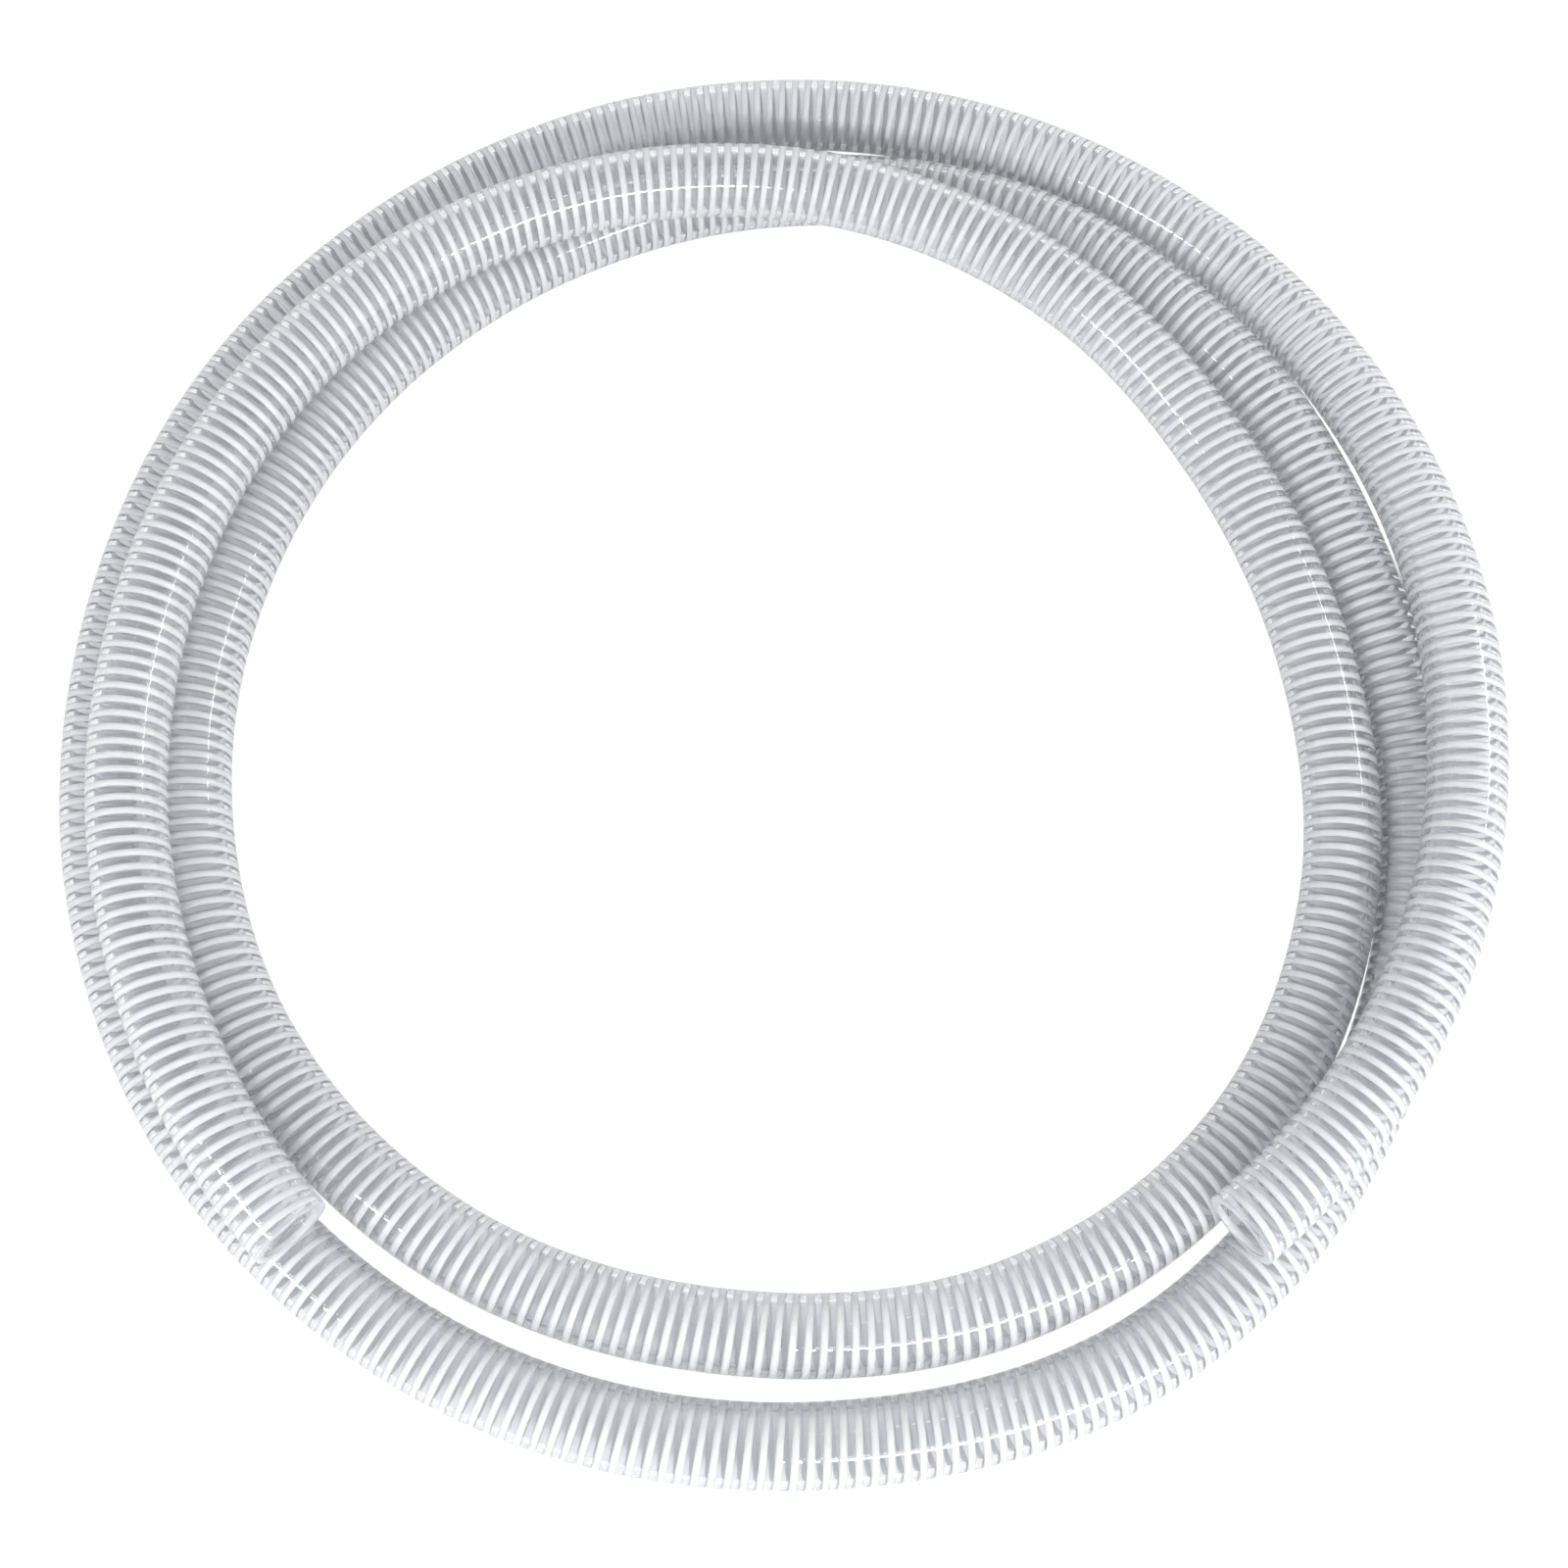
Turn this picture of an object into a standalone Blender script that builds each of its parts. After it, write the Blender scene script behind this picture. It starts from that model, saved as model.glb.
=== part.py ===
"""Clear suction and vacuum hose with a rigid helix, lying in a loose coil on the floor.

Metres, +Z up. The origin is at the bottom centre of the coil's bounding box.
Both ends are plain square cuts. The coil starts on top, at end A, and runs clockwise
as seen from above: it crosses its own first lap, drops to the floor, and climbs
onto the lower laps again just before end B.
"""

import math

import bpy
from mathutils import Vector

# Section of the hose: a smooth-bored clear wall inside the layer that the helix fills.
OUTER_RADIUS = 0.02413
BORE_RADIUS = 0.01905
HELIX_LAYER = 0.0028
LAYER_GAP = 0.0003
BEVEL_RESOLUTION = 4

# Plan of the coil. The stations lie evenly along the turns, from end A to end B, and
# each one gives the centre line's distance from the middle of the coil and its height
# above a lap that lies on the floor, in millimetres.
START_ANGLE = math.radians(230.4)
STEPS_PER_TURN = 28
STEPS = 78
END_STUB_STEPS = 0.12
COIL_CENTRE = Vector((0.0005, 0.0003, 0.0))
MILLIMETRE = 0.001
STATIONS = (
    (436, 48), (414, 44), (399, 43), (390, 45), (380, 49), (368, 49), (359, 41),
    (351, 26), (344, 11), (352, 4), (374, 1), (393, 0), (397, 0), (391, 0),
    (391, 0), (387, 0), (376, 0), (368, 0), (367, 0), (373, 0), (387, 1),
    (399, 8), (398, 7), (397, 1), (416, 0), (439, 0), (456, 0), (453, 0),
    (452, 0), (447, 0), (437, 0), (430, 0), (433, 0), (439, 0), (449, 0),
    (456, 2), (453, 9), (441, 25), (429, 45), (427, 51), (426, 45),
)

COLLECTION = "vacuum_hose"
WALL_COLOUR = (0.78, 0.83, 0.87, 1.0)
HELIX_COLOUR = (0.90, 0.91, 0.92, 1.0)


def clear_scene():
    """Remove everything that the scene starts with."""
    for obj in list(bpy.data.objects):
        bpy.data.objects.remove(obj, do_unlink=True)


def between(values, place):
    """The smooth curve through evenly spaced values, at a place counted in spacings."""
    last = len(values) - 1
    before = [2 * values[0] - values[1], *values, 2 * values[-1] - values[-2]]
    index = min(int(place), last - 1)
    t = place - index
    a, b, c, d = before[index : index + 4]
    return b + 0.5 * t * (c - a + t * (2 * a - 5 * b + 4 * c - d + t * (3 * (b - c) + d - a)))


def route_point(step):
    """A point of the centre line, at a number of steps along the turns from end A."""
    place = step / STEPS * (len(STATIONS) - 1)
    radius = between([station[0] for station in STATIONS], place) * MILLIMETRE
    rise = between([station[1] for station in STATIONS], place) * MILLIMETRE
    angle = START_ANGLE - step * math.tau / STEPS_PER_TURN
    height = OUTER_RADIUS + max(rise, 0.0)
    return COIL_CENTRE + Vector((radius * math.cos(angle), radius * math.sin(angle), height))


def route_points():
    """The centre line, with a short stretch at each end that sets the cut square."""
    inner_steps = list(range(1, STEPS))
    steps = [0, END_STUB_STEPS, *inner_steps, STEPS - END_STUB_STEPS, STEPS]
    return [route_point(step) for step in steps]


def plain_material(name, colour, roughness):
    """A plastic of one colour."""
    material = bpy.data.materials.new(name)
    material.use_nodes = True
    shader = material.node_tree.nodes["Principled BSDF"]
    shader.inputs["Base Color"].default_value = colour
    shader.inputs["Roughness"].default_value = roughness
    shader.inputs["Metallic"].default_value = 0.0
    return material


def hose_layer(name, points, outer_radius, thickness, material, collection):
    """An open-ended tube of one thickness along the centre line."""
    curve = bpy.data.curves.new(name, "CURVE")
    curve.dimensions = "3D"
    curve.bevel_depth = outer_radius
    curve.bevel_resolution = BEVEL_RESOLUTION
    curve.use_fill_caps = False
    curve.twist_mode = "Z_UP"
    spline = curve.splines.new("POLY")
    spline.points.add(len(points) - 1)
    for target, point in zip(spline.points, points):
        target.co = (*point, 1.0)
    curve.materials.append(material)
    layer = bpy.data.objects.new(name, curve)
    collection.objects.link(layer)
    shell = layer.modifiers.new("wall", "SOLIDIFY")
    shell.thickness = thickness
    shell.offset = -1.0
    shell.use_even_offset = True
    return layer


def build():
    clear_scene()
    collection = bpy.data.collections.new(COLLECTION)
    bpy.context.scene.collection.children.link(collection)
    points = route_points()
    helix = plain_material("rigid_white_plastic", HELIX_COLOUR, 0.35)
    wall = plain_material("clear_flexible_plastic", WALL_COLOUR, 0.12)
    wall_radius = OUTER_RADIUS - HELIX_LAYER - LAYER_GAP
    hose_layer("rigid_helix", points, OUTER_RADIUS, HELIX_LAYER, helix, collection)
    hose_layer("clear_wall", points, wall_radius, wall_radius - BORE_RADIUS, wall, collection)


build()
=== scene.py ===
"""Clear suction and vacuum hose with a rigid white helix, lying in a loose coil.

Metres, +Z up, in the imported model's frame. The hose is one clear wall with a smooth bore
and a very shallow groove that follows the helix outside. A left-handed helix of white rod
is moulded into the wall from end to end. Both ends are open, plain square cuts.
"""

import math

import bpy
import numpy as np
from mathutils import Matrix, Vector


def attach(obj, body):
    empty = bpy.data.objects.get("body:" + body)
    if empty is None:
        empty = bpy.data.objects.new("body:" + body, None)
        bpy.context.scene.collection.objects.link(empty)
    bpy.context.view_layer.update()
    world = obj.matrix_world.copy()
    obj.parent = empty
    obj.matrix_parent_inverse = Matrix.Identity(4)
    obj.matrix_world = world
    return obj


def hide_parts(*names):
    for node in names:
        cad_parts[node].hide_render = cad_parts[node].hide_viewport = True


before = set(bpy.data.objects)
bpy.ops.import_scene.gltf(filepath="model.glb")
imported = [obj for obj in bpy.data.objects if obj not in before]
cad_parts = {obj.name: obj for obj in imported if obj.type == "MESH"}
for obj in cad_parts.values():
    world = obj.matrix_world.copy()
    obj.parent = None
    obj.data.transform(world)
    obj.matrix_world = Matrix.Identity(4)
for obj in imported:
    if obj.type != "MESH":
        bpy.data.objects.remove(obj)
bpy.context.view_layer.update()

# ---------------------------------------------------------------- the hose's sizes, in metres
OUTER_RADIUS = 0.02413
BORE_RADIUS = 0.01905
GROOVE_DEPTH = 0.00015
PITCH = 0.0089
ROD_HALF_WIDTH = 0.00225
ROD_HALF_THICKNESS = 0.00125
ROD_COVER = 0.00042
# How square the rod's section is: at 2 it would be an ellipse.
ROD_CORNER_POWER = 2.6
# The rod's cut faces stop this far inside the wall's, so that the two never share a plane.
END_CLEARANCE = 0.0001

# ---------------------------------------------------------------- the route, as in the CAD
# Stations are evenly spaced in angle, from end A to end B. Each holds, in millimetres, the
# centre line's distance from the coil's centre and its rise above a lap on the floor.
START_ANGLE = math.radians(230.4)
STEPS_PER_TURN = 28
STEPS = 78
COIL_CENTRE = (0.0005, 0.0003)
MILLIMETRE = 0.001
STATIONS = (
    (436, 48), (414, 44), (399, 43), (390, 45), (380, 49), (368, 49), (359, 41),
    (351, 26), (344, 11), (352, 4), (374, 1), (393, 0), (397, 0), (391, 0),
    (391, 0), (387, 0), (376, 0), (368, 0), (367, 0), (373, 0), (387, 1),
    (399, 8), (398, 7), (397, 1), (416, 0), (439, 0), (456, 0), (453, 0),
    (452, 0), (447, 0), (437, 0), (430, 0), (433, 0), (439, 0), (449, 0),
    (456, 2), (453, 9), (441, 25), (429, 45), (427, 51), (426, 45),
)

# ---------------------------------------------------------------- mesh fineness
ROUTE_SAMPLES = 24001
WALL_SIDES = 27
WALL_SAMPLES_PER_PITCH = 4
PITCHES_PER_BORE_ROW = 2
# In the bore, the frosting of a sawn end fades out over this length.
CUT_HAZE_DEPTH = 0.0012
SHARP_ANGLE = math.radians(55.0)
ROD_STEPS_PER_TURN = 36
ROD_PROFILE_POINTS = 10
HELIX_PIECES = 3
# The rod's middle runs past each cut by this share of its half width. What would lie
# beyond the cut is left out.
HELIX_OVERRUN = 0.8


def between(values, places):
    """The smooth curve through evenly spaced values, at places counted in spacings.

    It is a Catmull-Rom curve, with the first and last steps repeated past its ends.
    """
    values = np.asarray(values, float)
    ahead = 2 * values[0] - values[1]
    behind = 2 * values[-1] - values[-2]
    padded = np.concatenate([[ahead], values, [behind]])
    index = np.clip(np.floor(places).astype(int), 0, len(values) - 2)
    t = places - index
    a, b, c, d = (padded[index + k] for k in range(4))
    slope = c - a
    bend = 2 * a - 5 * b + 4 * c - d
    twist = 3 * (b - c) + d - a
    return b + 0.5 * t * (slope + t * (bend + t * twist))


def route():
    """The centre line as dense points from end A to end B, clockwise seen from above."""
    steps = np.linspace(0, STEPS, ROUTE_SAMPLES)
    places = steps / STEPS * (len(STATIONS) - 1)
    radius = between([station[0] for station in STATIONS], places) * MILLIMETRE
    rise = between([station[1] for station in STATIONS], places) * MILLIMETRE
    angle = START_ANGLE - steps * math.tau / STEPS_PER_TURN
    x = COIL_CENTRE[0] + radius * np.cos(angle)
    y = COIL_CENTRE[1] + radius * np.sin(angle)
    return np.stack([x, y, OUTER_RADIUS + np.maximum(rise, 0.0)], axis=1)


class Centreline:
    """Points and upright cross-section axes at any length along the hose."""

    def __init__(self, points):
        self.points = points
        spans = np.linalg.norm(np.diff(points, axis=0), axis=1)
        self.along = np.concatenate([[0.0], np.cumsum(spans)])
        self.length = float(self.along[-1])
        tangent = np.gradient(points, self.along, axis=0)
        tangent /= np.linalg.norm(tangent, axis=1)[:, None]
        side = np.cross([0.0, 0.0, 1.0], tangent)
        side /= np.linalg.norm(side, axis=1)[:, None]
        self.axes = np.stack([side, np.cross(tangent, side)], axis=1)

    def at(self, s, values):
        """Values that are known at each point of the line, read off at lengths s along it."""
        flat = values.reshape(len(values), -1)
        columns = [np.interp(s, self.along, flat[:, k]) for k in range(flat.shape[1])]
        return np.stack(columns, axis=-1)

    def place(self, s, angle, radius):
        """Points at a length along the hose, an angle round it and a radius."""
        centre = self.at(s, self.points)
        axes = self.at(s, self.axes)
        side = axes[..., 0:3]
        up = axes[..., 3:6]
        around = np.cos(angle)[..., None] * side + np.sin(angle)[..., None] * up
        return centre + radius[..., None] * around


def mesh_object(name, material, points, faces, sawn=None):
    """A smooth-shaded mesh from an array of points and lists of corners.

    sawn, if given, holds 1 at each point on a cut edge and 0 elsewhere.
    """
    mesh = bpy.data.meshes.new(name)
    mesh.from_pydata(points.tolist(), [], faces)
    mesh.update()
    mesh.shade_smooth()
    mesh.set_sharp_from_angle(angle=SHARP_ANGLE)
    mesh.materials.append(material)
    if sawn is not None:
        mesh.attributes.new("sawn", "FLOAT", "POINT").data.foreach_set("value", sawn)
    obj = bpy.data.objects.new(name, mesh)
    bpy.context.scene.collection.objects.link(obj)
    return obj


def tidy_faces(quads):
    """Quads as lists, with repeated corners dropped and collapsed faces left out."""
    kept = []
    for quad in quads.tolist():
        corners = [c for k, c in enumerate(quad) if c != quad[k - 1]]
        if len(set(corners)) == len(corners) and len(corners) > 2:
            kept.append(corners)
    return kept


def groove(phase):
    """The outer radius at a phase of the helix: full over the rod, less between turns."""
    return OUTER_RADIUS - GROOVE_DEPTH * (0.5 - 0.5 * np.cos(phase))


def wall_arrays(line):
    """The clear wall: a grooved outside that follows the helix, and a smooth bore.

    The result is its points, its faces, and 1 for each point on a cut edge.
    """
    # The outside is a lattice of columns, each one pitch long and straight along the hose.
    # They start one after another along the rod, and each one's end is the start of the
    # one a full turn later.
    sides = WALL_SIDES
    per_pitch = WALL_SAMPLES_PER_PITCH
    turns = int(math.ceil(line.length / PITCH)) + 2
    column = np.arange(-sides, turns * sides + 1)
    row = np.arange(per_pitch)
    s = (column[:, None] / sides + row[None, :] / per_pitch) * PITCH
    side_index = np.broadcast_to((-column[:, None]) % sides, s.shape)
    angle = math.tau * side_index / sides
    inside = (s > 0.0) & (s < line.length)
    phase = math.tau * row / per_pitch
    radius = np.broadcast_to(groove(phase)[None, :], s.shape)

    # A ring of points at each cut takes the place of the lattice points beyond it.
    ring_angle = math.tau * np.arange(sides) / sides
    end_phase = ring_angle + math.tau * line.length / PITCH
    ring_start = line.place(np.zeros(sides), ring_angle, groove(ring_angle))
    ring_end = line.place(np.full(sides, line.length), ring_angle, groove(end_phase))
    grooved = line.place(s[inside], angle[inside], radius[inside])

    ids = np.full(s.shape, -1)
    ids[inside] = 2 * sides + np.arange(int(inside.sum()))
    ids[s <= 0.0] = side_index[s <= 0.0]
    ids[s >= line.length] = sides + side_index[s >= line.length]
    ids = np.concatenate([ids, np.full((len(column), 1), -1)], axis=1)
    ids[:-sides, per_pitch] = ids[sides:, 0]
    near = ids[: -sides - 1]
    far = ids[1:-sides]
    quads = np.stack([near[:, :-1], near[:, 1:], far[:, 1:], far[:, :-1]], axis=-1)
    outer_faces = tidy_faces(quads.reshape(-1, 4))

    # The bore is a plain tube of rings.
    inner_rows = int(line.length / (PITCHES_PER_BORE_ROW * PITCH))
    inner_s = np.linspace(CUT_HAZE_DEPTH, line.length - CUT_HAZE_DEPTH, inner_rows)
    bore_s = np.concatenate([[0.0], inner_s, [line.length]])
    bore_rows = len(bore_s)
    bore_grid = line.place(
        np.broadcast_to(bore_s[:, None], (bore_rows, sides)),
        np.broadcast_to(ring_angle[None, :], (bore_rows, sides)),
        np.full((bore_rows, sides), BORE_RADIUS),
    )
    base = 2 * sides + len(grooved)
    bore_ids = base + np.arange(bore_rows * sides).reshape(bore_rows, sides)
    around = np.roll(bore_ids, -1, axis=1)
    bore_quads = np.stack([bore_ids[:-1], bore_ids[1:], around[1:], around[:-1]], axis=-1)
    bore_faces = bore_quads.reshape(-1, 4).tolist()

    # A flat ring of faces joins the outside to the bore at each cut.
    ring = np.arange(sides)
    after = np.roll(ring, -1)
    start_cap = np.stack([ring, bore_ids[0], around[0], after], axis=-1).tolist()
    end_cap = np.stack([ring + sides, after + sides, around[-1], bore_ids[-1]], axis=-1).tolist()
    points = np.concatenate([ring_start, ring_end, grooved, bore_grid.reshape(-1, 3)])
    sawn = np.zeros(len(points))
    sawn[: 2 * sides] = 1.0
    sawn[bore_ids[0]] = 1.0
    sawn[bore_ids[-1]] = 1.0
    return points, outer_faces + bore_faces + start_cap + end_cap, sawn


def rod_sections(low, high):
    """The rod's section in each row: a rounded oblong, cut off flat at low or at high.

    low and high are where the rod's end cuts lie, in half widths from the section's middle.
    The result is each point's offset along the hose and across the wall.
    """
    first = math.pi / ROD_PROFILE_POINTS
    power = ROD_CORNER_POWER / 2.0
    low_angle, high_angle = (
        np.arccos(np.sign(cut) * np.clip(np.abs(cut), 0.0, 1.0) ** power) for cut in (low, high)
    )
    last = np.minimum(low_angle, math.pi - first)[:, None]
    start = np.maximum(high_angle, first)[:, None]
    share = np.linspace(0.0, 1.0, ROD_PROFILE_POINTS)[None, :]
    from_low = np.roll(last * (2.0 * share - 1.0), ROD_PROFILE_POINTS // 2, axis=1)
    from_high = start + 2.0 * (math.pi - start) * share
    t = np.where(low[:, None] > -1.0, from_low, from_high)
    along = ROD_HALF_WIDTH * np.sign(np.cos(t)) * np.abs(np.cos(t)) ** (1.0 / power)
    across = ROD_HALF_THICKNESS * np.sign(np.sin(t)) * np.abs(np.sin(t)) ** (1.0 / power)
    return along, across


def rod_arrays(line, first_turn, last_turn):
    """A stretch of the helix between two turns, cut square at the hose's ends."""
    count = int(round((last_turn - first_turn) * ROD_STEPS_PER_TURN)) + 1
    turn = np.linspace(first_turn, last_turn, count)
    low = (END_CLEARANCE - turn * PITCH) / ROD_HALF_WIDTH
    high = (line.length - END_CLEARANCE - turn * PITCH) / ROD_HALF_WIDTH
    along, across = rod_sections(low, high)
    s = turn[:, None] * PITCH + along
    angle = np.broadcast_to(-math.tau * turn[:, None], s.shape)
    middle = OUTER_RADIUS - ROD_COVER - ROD_HALF_THICKNESS
    points = line.place(s, angle, middle + across).reshape(-1, 3)
    ids = np.arange(count * ROD_PROFILE_POINTS).reshape(count, ROD_PROFILE_POINTS)
    around = np.roll(ids, -1, axis=1)
    quads = np.stack([ids[:-1], ids[1:], around[1:], around[:-1]], axis=-1).reshape(-1, 4)
    caps = [ids[0].tolist(), ids[-1][::-1].tolist()]
    return points, quads.tolist() + caps


# ---------------------------------------------------------------- materials
UNIT_RANGE = (0.0, 1.0)
PURE_WHITE = (1.0, 1.0, 1.0, 1.0)

CLEAR_TINT = (0.879, 0.892, 0.916, 1.0)
CLEAR_SHADOW_TINT = (0.945, 0.952, 0.965, 1.0)
CLEAR_IOR = 1.52

# Clouds in the clear wall: each range goes from its clearest places to its cloudiest.
CLOUD_SCALE = 14.0
CLOUD_DETAIL = 3.0
CLOUD_NOISE = (0.3, 0.7)
HAZE = (0.06, 0.11)
GLOSS_ROUGHNESS = (0.015, 0.028)
SAWN_HAZE = 0.30
SAWN_ROUGHNESS = 0.45

# Scuffs are the sparse peaks of a fine noise.
SCUFF_SCALE = 260.0
SCUFF_DETAIL = 5.0
SCUFF_BREAKUP = 0.7
SCUFF_NOISE = (0.62, 0.74)
SCUFF_ROUGHNESS = (0.0, 0.10)

# Slight waviness of the clear surface. RIPPLE_HEIGHT and GRAIN_HEIGHT are in metres.
RIPPLE_SCALE = 70.0
RIPPLE_SCUFF_SHARE = 0.4
RIPPLE_HEIGHT = 0.0004
RIPPLE_STRENGTH = 0.12

WHITE_PALE = (0.915, 0.916, 0.921, 1.0)
WHITE_DEEP = (0.865, 0.868, 0.876, 1.0)
WHITE_ROUGHNESS = (0.28, 0.42)
MOTTLE_SCALE = 90.0
MOTTLE_DETAIL = 5.0
MOTTLE_BREAKUP = 0.6
MOTTLE_NOISE = (0.35, 0.65)
GRAIN_SCALE = 700.0
GRAIN_DETAIL = 3.0
GRAIN_BREAKUP = 0.6
GRAIN_NOISE = (0.3, 0.7)
GRAIN_HEIGHT = 0.00005
GRAIN_STRENGTH = 0.35

FLOOR_COLOUR = (0.85, 0.85, 0.85, 1.0)
FLOOR_ROUGHNESS = 0.9
FLOOR_GLOW = 0.20
FLOOR_LIFT = 1.15
FLOOR_LIFT_SHARE = 0.80


class NodeMaterial:
    """A Principled material with short ways to feed its sockets from noise."""

    def __init__(self, name):
        self.material = bpy.data.materials.new(name)
        self.material.use_nodes = True
        self.nodes = self.material.node_tree.nodes
        self.links = self.material.node_tree.links
        self.shader = self.nodes["Principled BSDF"]
        self.output = self.nodes["Material Output"]

    def noise(self, scale, detail=2.0, breakup=0.5):
        """Noise from about 0 to 1, with about scale features to a metre of the object."""
        coordinates = self.nodes.new("ShaderNodeTexCoord")
        texture = self.nodes.new("ShaderNodeTexNoise")
        texture.inputs["Scale"].default_value = scale
        texture.inputs["Detail"].default_value = detail
        texture.inputs["Roughness"].default_value = breakup
        self.links.new(coordinates.outputs["Object"], texture.inputs["Vector"])
        return texture.outputs["Fac"]

    def remap(self, value, source, target):
        """A value moved smoothly from the range source to the range target."""
        node = self.nodes.new("ShaderNodeMapRange")
        node.interpolation_type = "SMOOTHSTEP"
        node.inputs["From Min"].default_value = source[0]
        node.inputs["From Max"].default_value = source[1]
        node.inputs["To Min"].default_value = target[0]
        node.inputs["To Max"].default_value = target[1]
        self.links.new(value, node.inputs["Value"])
        return node.outputs["Result"]

    def combine(self, operation, first, second):
        """Two values, each a socket or a number, joined by a maths node."""
        node = self.nodes.new("ShaderNodeMath")
        node.operation = operation
        for socket, value in zip(node.inputs, (first, second)):
            if isinstance(value, float):
                socket.default_value = value
            else:
                self.links.new(value, socket)
        return node.outputs[0]

    def colour(self, value, first, second):
        """A colour between two, by a value from 0 to 1."""
        node = self.nodes.new("ShaderNodeMix")
        node.data_type = "RGBA"
        node.inputs["A"].default_value = first
        node.inputs["B"].default_value = second
        self.links.new(value, node.inputs["Factor"])
        return node.outputs["Result"]

    def bump(self, height, distance, strength):
        """A normal from a height map, in which a step of 1 stands for distance, in metres."""
        node = self.nodes.new("ShaderNodeBump")
        node.inputs["Strength"].default_value = strength
        node.inputs["Distance"].default_value = distance
        self.links.new(height, node.inputs["Height"])
        return node.outputs["Normal"]

    def feed(self, socket, source):
        """Links a value to one of the shader's sockets."""
        self.links.new(source, self.shader.inputs[socket])

    def set(self, socket, value):
        """Gives one of the shader's sockets a plain value."""
        self.shader.inputs[socket].default_value = value


def clear_plastic():
    """Glossy flexible PVC: clear with a cool tint, cloudy, scuffed, and frosted where sawn."""
    clear = NodeMaterial("clear_flexible_pvc")
    clear.set("Base Color", CLEAR_TINT)
    clear.set("IOR", CLEAR_IOR)
    attribute = clear.nodes.new("ShaderNodeAttribute")
    attribute.attribute_name = "sawn"
    sawn = attribute.outputs["Fac"]

    cloud = clear.remap(clear.noise(CLOUD_SCALE, CLOUD_DETAIL), CLOUD_NOISE, UNIT_RANGE)
    clouded = clear.remap(cloud, UNIT_RANGE, HAZE)
    frosted = clear.combine("MULTIPLY", sawn, SAWN_HAZE)
    haze = clear.combine("MAXIMUM", clouded, frosted)
    clear.feed("Transmission Weight", clear.combine("SUBTRACT", 1.0, haze))

    gloss = clear.remap(cloud, UNIT_RANGE, GLOSS_ROUGHNESS)
    fine_noise = clear.noise(SCUFF_SCALE, SCUFF_DETAIL, SCUFF_BREAKUP)
    scuffs = clear.remap(fine_noise, SCUFF_NOISE, SCUFF_ROUGHNESS)
    worn = clear.combine("ADD", gloss, scuffs)
    rough_cut = clear.combine("MULTIPLY", sawn, SAWN_ROUGHNESS)
    clear.feed("Roughness", clear.combine("MAXIMUM", worn, rough_cut))

    waves = clear.noise(RIPPLE_SCALE)
    scratches = clear.combine("MULTIPLY", scuffs, RIPPLE_SCUFF_SHARE)
    ripple = clear.combine("ADD", waves, scratches)
    clear.feed("Normal", clear.bump(ripple, RIPPLE_HEIGHT, RIPPLE_STRENGTH))

    # Shadow rays pass straight through the wall, a little dimmed, so the rod in it stays lit.
    passes = clear.nodes.new("ShaderNodeBsdfTransparent")
    passes.inputs["Color"].default_value = CLEAR_SHADOW_TINT
    path = clear.nodes.new("ShaderNodeLightPath")
    mix = clear.nodes.new("ShaderNodeMixShader")
    clear.links.new(path.outputs["Is Shadow Ray"], mix.inputs[0])
    clear.links.new(clear.shader.outputs[0], mix.inputs[1])
    clear.links.new(passes.outputs[0], mix.inputs[2])
    clear.links.new(mix.outputs[0], clear.output.inputs["Surface"])
    return clear.material


def white_plastic():
    """Rigid white PVC: satin, with faint mottling and fine extrusion grain."""
    white = NodeMaterial("rigid_white_pvc")
    mottle_noise = white.noise(MOTTLE_SCALE, MOTTLE_DETAIL, MOTTLE_BREAKUP)
    mottle = white.remap(mottle_noise, MOTTLE_NOISE, UNIT_RANGE)
    white.feed("Base Color", white.colour(mottle, WHITE_PALE, WHITE_DEEP))
    grain = white.noise(GRAIN_SCALE, GRAIN_DETAIL, GRAIN_BREAKUP)
    white.feed("Roughness", white.remap(grain, GRAIN_NOISE, WHITE_ROUGHNESS))
    white.feed("Normal", white.bump(grain, GRAIN_HEIGHT, GRAIN_STRENGTH))
    return white.material


def floor_material():
    """Pale matt floor, lifted to white where the camera sees it directly."""
    floor = NodeMaterial("pale_floor")
    floor.set("Base Color", FLOOR_COLOUR)
    floor.set("Roughness", FLOOR_ROUGHNESS)
    floor.set("Specular IOR Level", 0.0)
    floor.set("Emission Color", PURE_WHITE)
    floor.set("Emission Strength", FLOOR_GLOW)
    lift = floor.nodes.new("ShaderNodeEmission")
    lift.inputs["Strength"].default_value = FLOOR_LIFT
    path = floor.nodes.new("ShaderNodeLightPath")
    share = floor.combine("MULTIPLY", path.outputs["Is Camera Ray"], FLOOR_LIFT_SHARE)
    mix = floor.nodes.new("ShaderNodeMixShader")
    floor.links.new(share, mix.inputs[0])
    floor.links.new(floor.shader.outputs[0], mix.inputs[1])
    floor.links.new(lift.outputs[0], mix.inputs[2])
    floor.links.new(mix.outputs[0], floor.output.inputs["Surface"])
    return floor.material


# ---------------------------------------------------------------- camera, lights and floor
CAMERA_TARGET = Vector((0.0035, -0.0472, 0.0))
CAMERA_DISTANCE = 1.20
CAMERA_TILT = math.radians(18.0)
CAMERA_TURN = math.radians(4.75)
CAMERA_LENS = 42.32
SENSOR_WIDTH = 36.0
CLIP_END = 50.0

# The sky's strength in a direction is the level plus the direction's dot product with the
# slope, so it is brightest low down, and a little brighter at the front right.
SKY_LEVEL = 1.60
SKY_SLOPE = (0.20, -0.08, -1.10)

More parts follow.
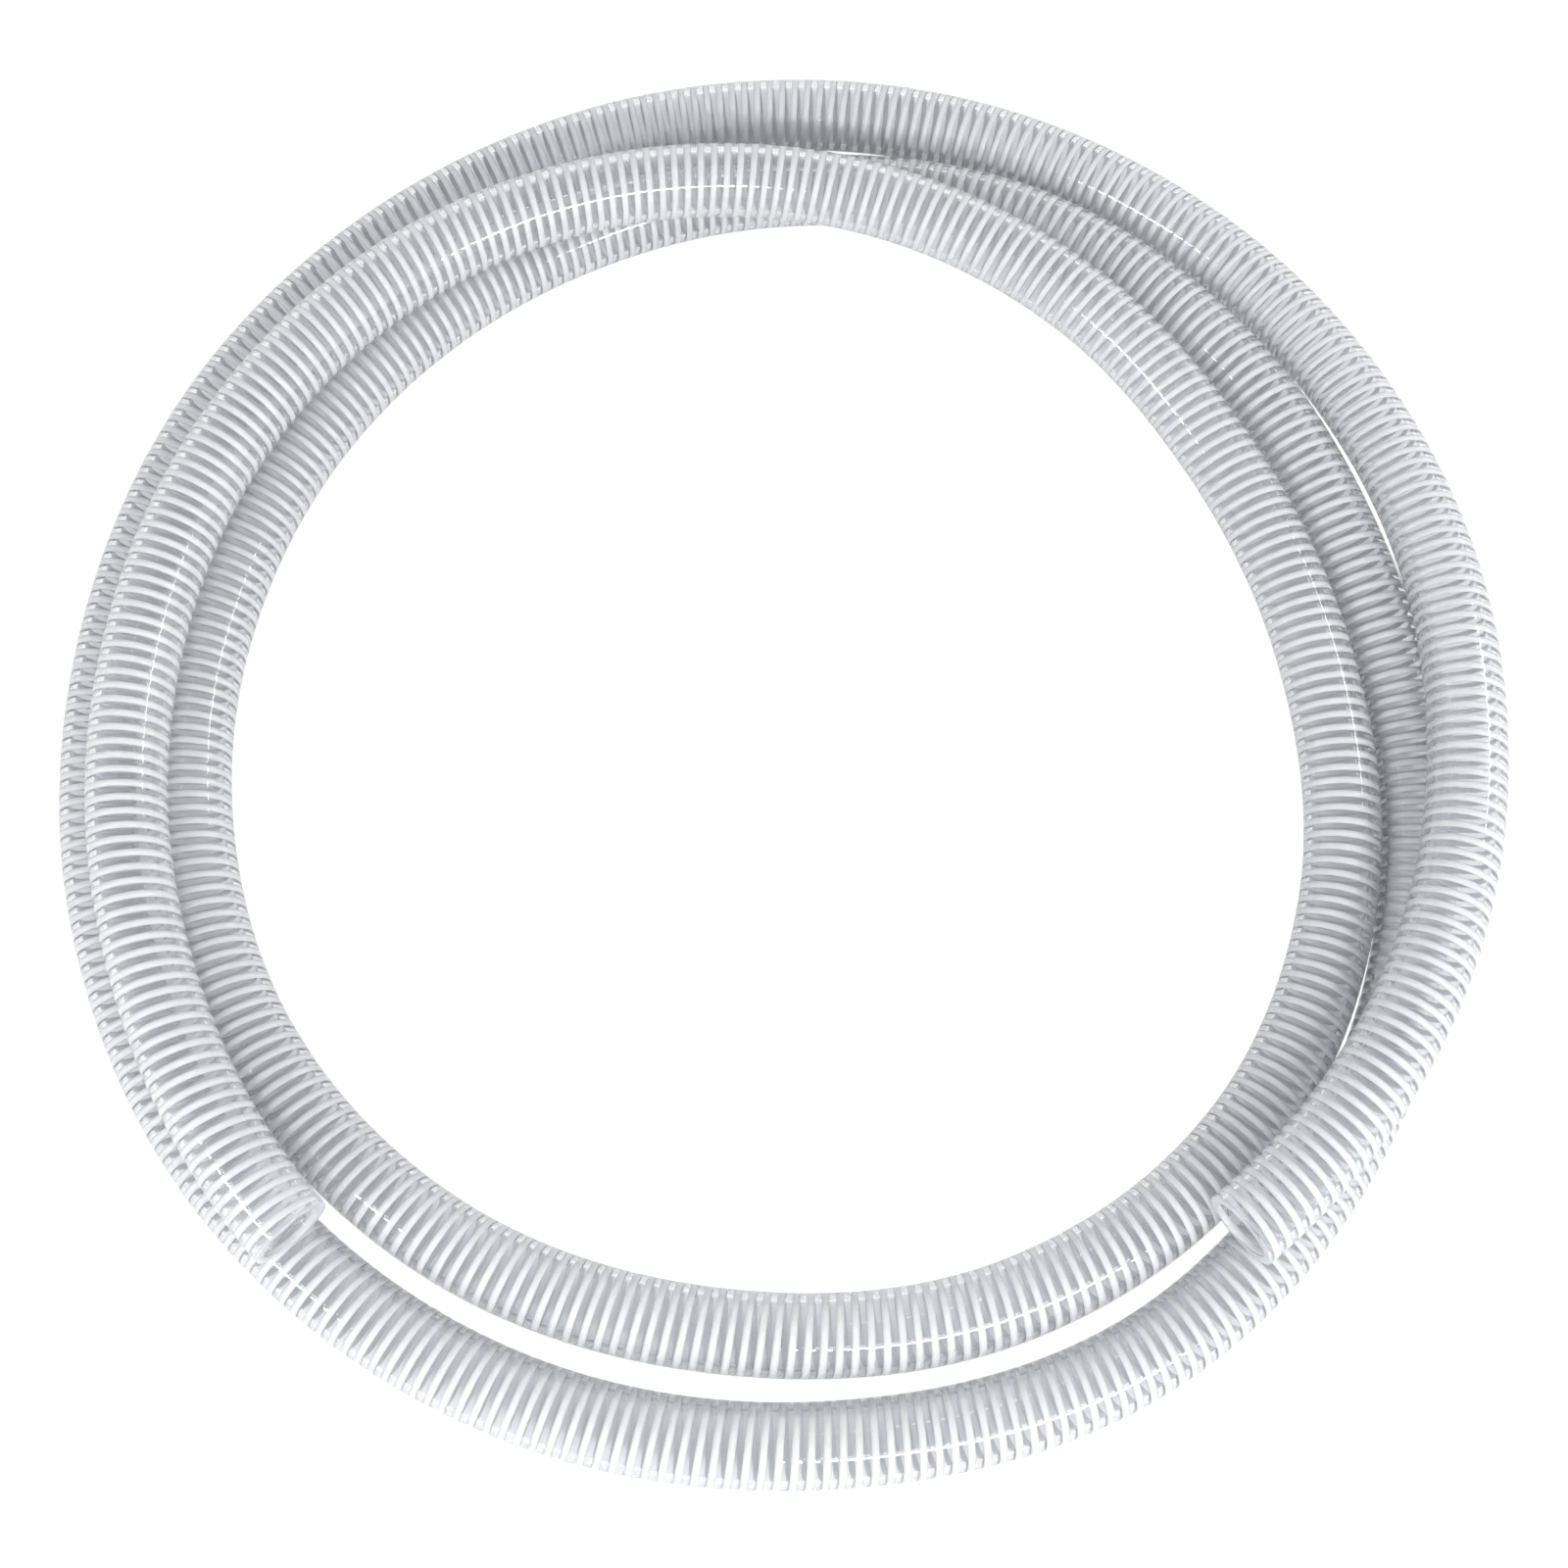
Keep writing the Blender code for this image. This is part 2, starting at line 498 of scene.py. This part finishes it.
# Each strip light: its name, place, direction of its long side, two sides and radiance.
SOFTBOXES = (
    ("front_strip", (0.70, -1.57, 1.45), (1.0, 0.2, -0.15), (1.25, 0.20), 17.0),
    ("left_strip", (-1.43, -0.89, 1.22), (-0.46, 0.88, 0.0), (0.66, 0.18), 17.0),
    ("right_strip", (1.45, 0.55, 1.10), (-0.35, 0.94, 0.0), (0.60, 0.10), 14.0),
)

# The floor lies just under the hose, so that the two never share a plane.
FLOOR_REACH = 6.0
FLOOR_DROP = 0.0002


def add_camera():
    """A camera above the coil and a little in front of it, looking down and back."""
    lean = math.sin(CAMERA_TILT)
    x = -lean * math.sin(CAMERA_TURN)
    y = -lean * math.cos(CAMERA_TURN)
    away = Vector((x, y, math.cos(CAMERA_TILT)))
    right = (Vector((1.0, 0.0, 0.0)) - away.x * away).normalized()
    up = away.cross(right)
    data = bpy.data.cameras.new("camera")
    data.sensor_width = SENSOR_WIDTH
    data.lens = CAMERA_LENS
    data.clip_end = CLIP_END
    camera = bpy.data.objects.new("camera", data)
    pose = Matrix((right, up, away)).transposed().to_4x4()
    pose.translation = CAMERA_TARGET + CAMERA_DISTANCE * away
    camera.matrix_world = pose
    bpy.context.scene.collection.objects.link(camera)
    bpy.context.scene.camera = camera


def add_world():
    """A soft white dome of light, as SKY_LEVEL and SKY_SLOPE say."""
    world = bpy.data.worlds.new("studio")
    world.use_nodes = True
    nodes = world.node_tree.nodes
    links = world.node_tree.links
    nodes["Background"].inputs["Color"].default_value = PURE_WHITE
    coordinates = nodes.new("ShaderNodeTexCoord")
    facing = nodes.new("ShaderNodeVectorMath")
    facing.operation = "DOT_PRODUCT"
    facing.inputs[1].default_value = SKY_SLOPE
    level = nodes.new("ShaderNodeMath")
    level.operation = "ADD"
    level.inputs[1].default_value = SKY_LEVEL
    links.new(coordinates.outputs["Generated"], facing.inputs[0])
    links.new(facing.outputs["Value"], level.inputs[0])
    links.new(level.outputs[0], nodes["Background"].inputs["Strength"])
    bpy.context.scene.world = world


def add_softbox(name, position, along, size, radiance):
    """A rectangular light that faces the coil, its long side as near to along as it can be."""
    away = Vector(position).normalized()
    long_side = Vector(along)
    long_side = (long_side - long_side.dot(away) * away).normalized()
    data = bpy.data.lights.new(name, "AREA")
    data.shape = "RECTANGLE"
    data.size, data.size_y = size
    data.energy = radiance * math.pi * size[0] * size[1]
    light = bpy.data.objects.new(name, data)
    pose = Matrix((long_side, away.cross(long_side), away)).transposed().to_4x4()
    pose.translation = position
    light.matrix_world = pose
    bpy.context.scene.collection.objects.link(light)


def add_floor():
    """A large flat floor, which is part of the stage and not of the hose."""
    mesh = bpy.data.meshes.new("floor")
    signs = ((-1, -1), (1, -1), (1, 1), (-1, 1))
    corners = [(x * FLOOR_REACH, y * FLOOR_REACH, 0.0) for x, y in signs]
    mesh.from_pydata(corners, [], [(0, 1, 2, 3)])
    mesh.materials.append(floor_material())
    floor = bpy.data.objects.new("floor", mesh)
    floor.location.z = -FLOOR_DROP
    bpy.context.scene.collection.objects.link(floor)


def main():
    """The hose, its camera, its lights and its floor."""
    add_camera()
    line = Centreline(route())
    clear = clear_plastic()
    white = white_plastic()
    wall = mesh_object("hose_wall", clear, *wall_arrays(line))
    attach(wall, "root")
    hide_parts("clear_wall")

    # The rod is one piece in reality: its meshes meet end to end inside the wall.
    total_turns = line.length / PITCH
    overrun = ROD_HALF_WIDTH / PITCH * HELIX_OVERRUN
    cuts = np.linspace(-overrun, total_turns + overrun, HELIX_PIECES + 1)
    for k in range(HELIX_PIECES):
        rod = mesh_object(f"helix_lap_{k + 1}", white, *rod_arrays(line, cuts[k], cuts[k + 1]))
        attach(rod, "root")
        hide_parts("rigid_helix")

    add_floor()
    add_world()
    for softbox in SOFTBOXES:
        add_softbox(*softbox)
    bpy.context.scene.view_settings.view_transform = "Standard"


main()
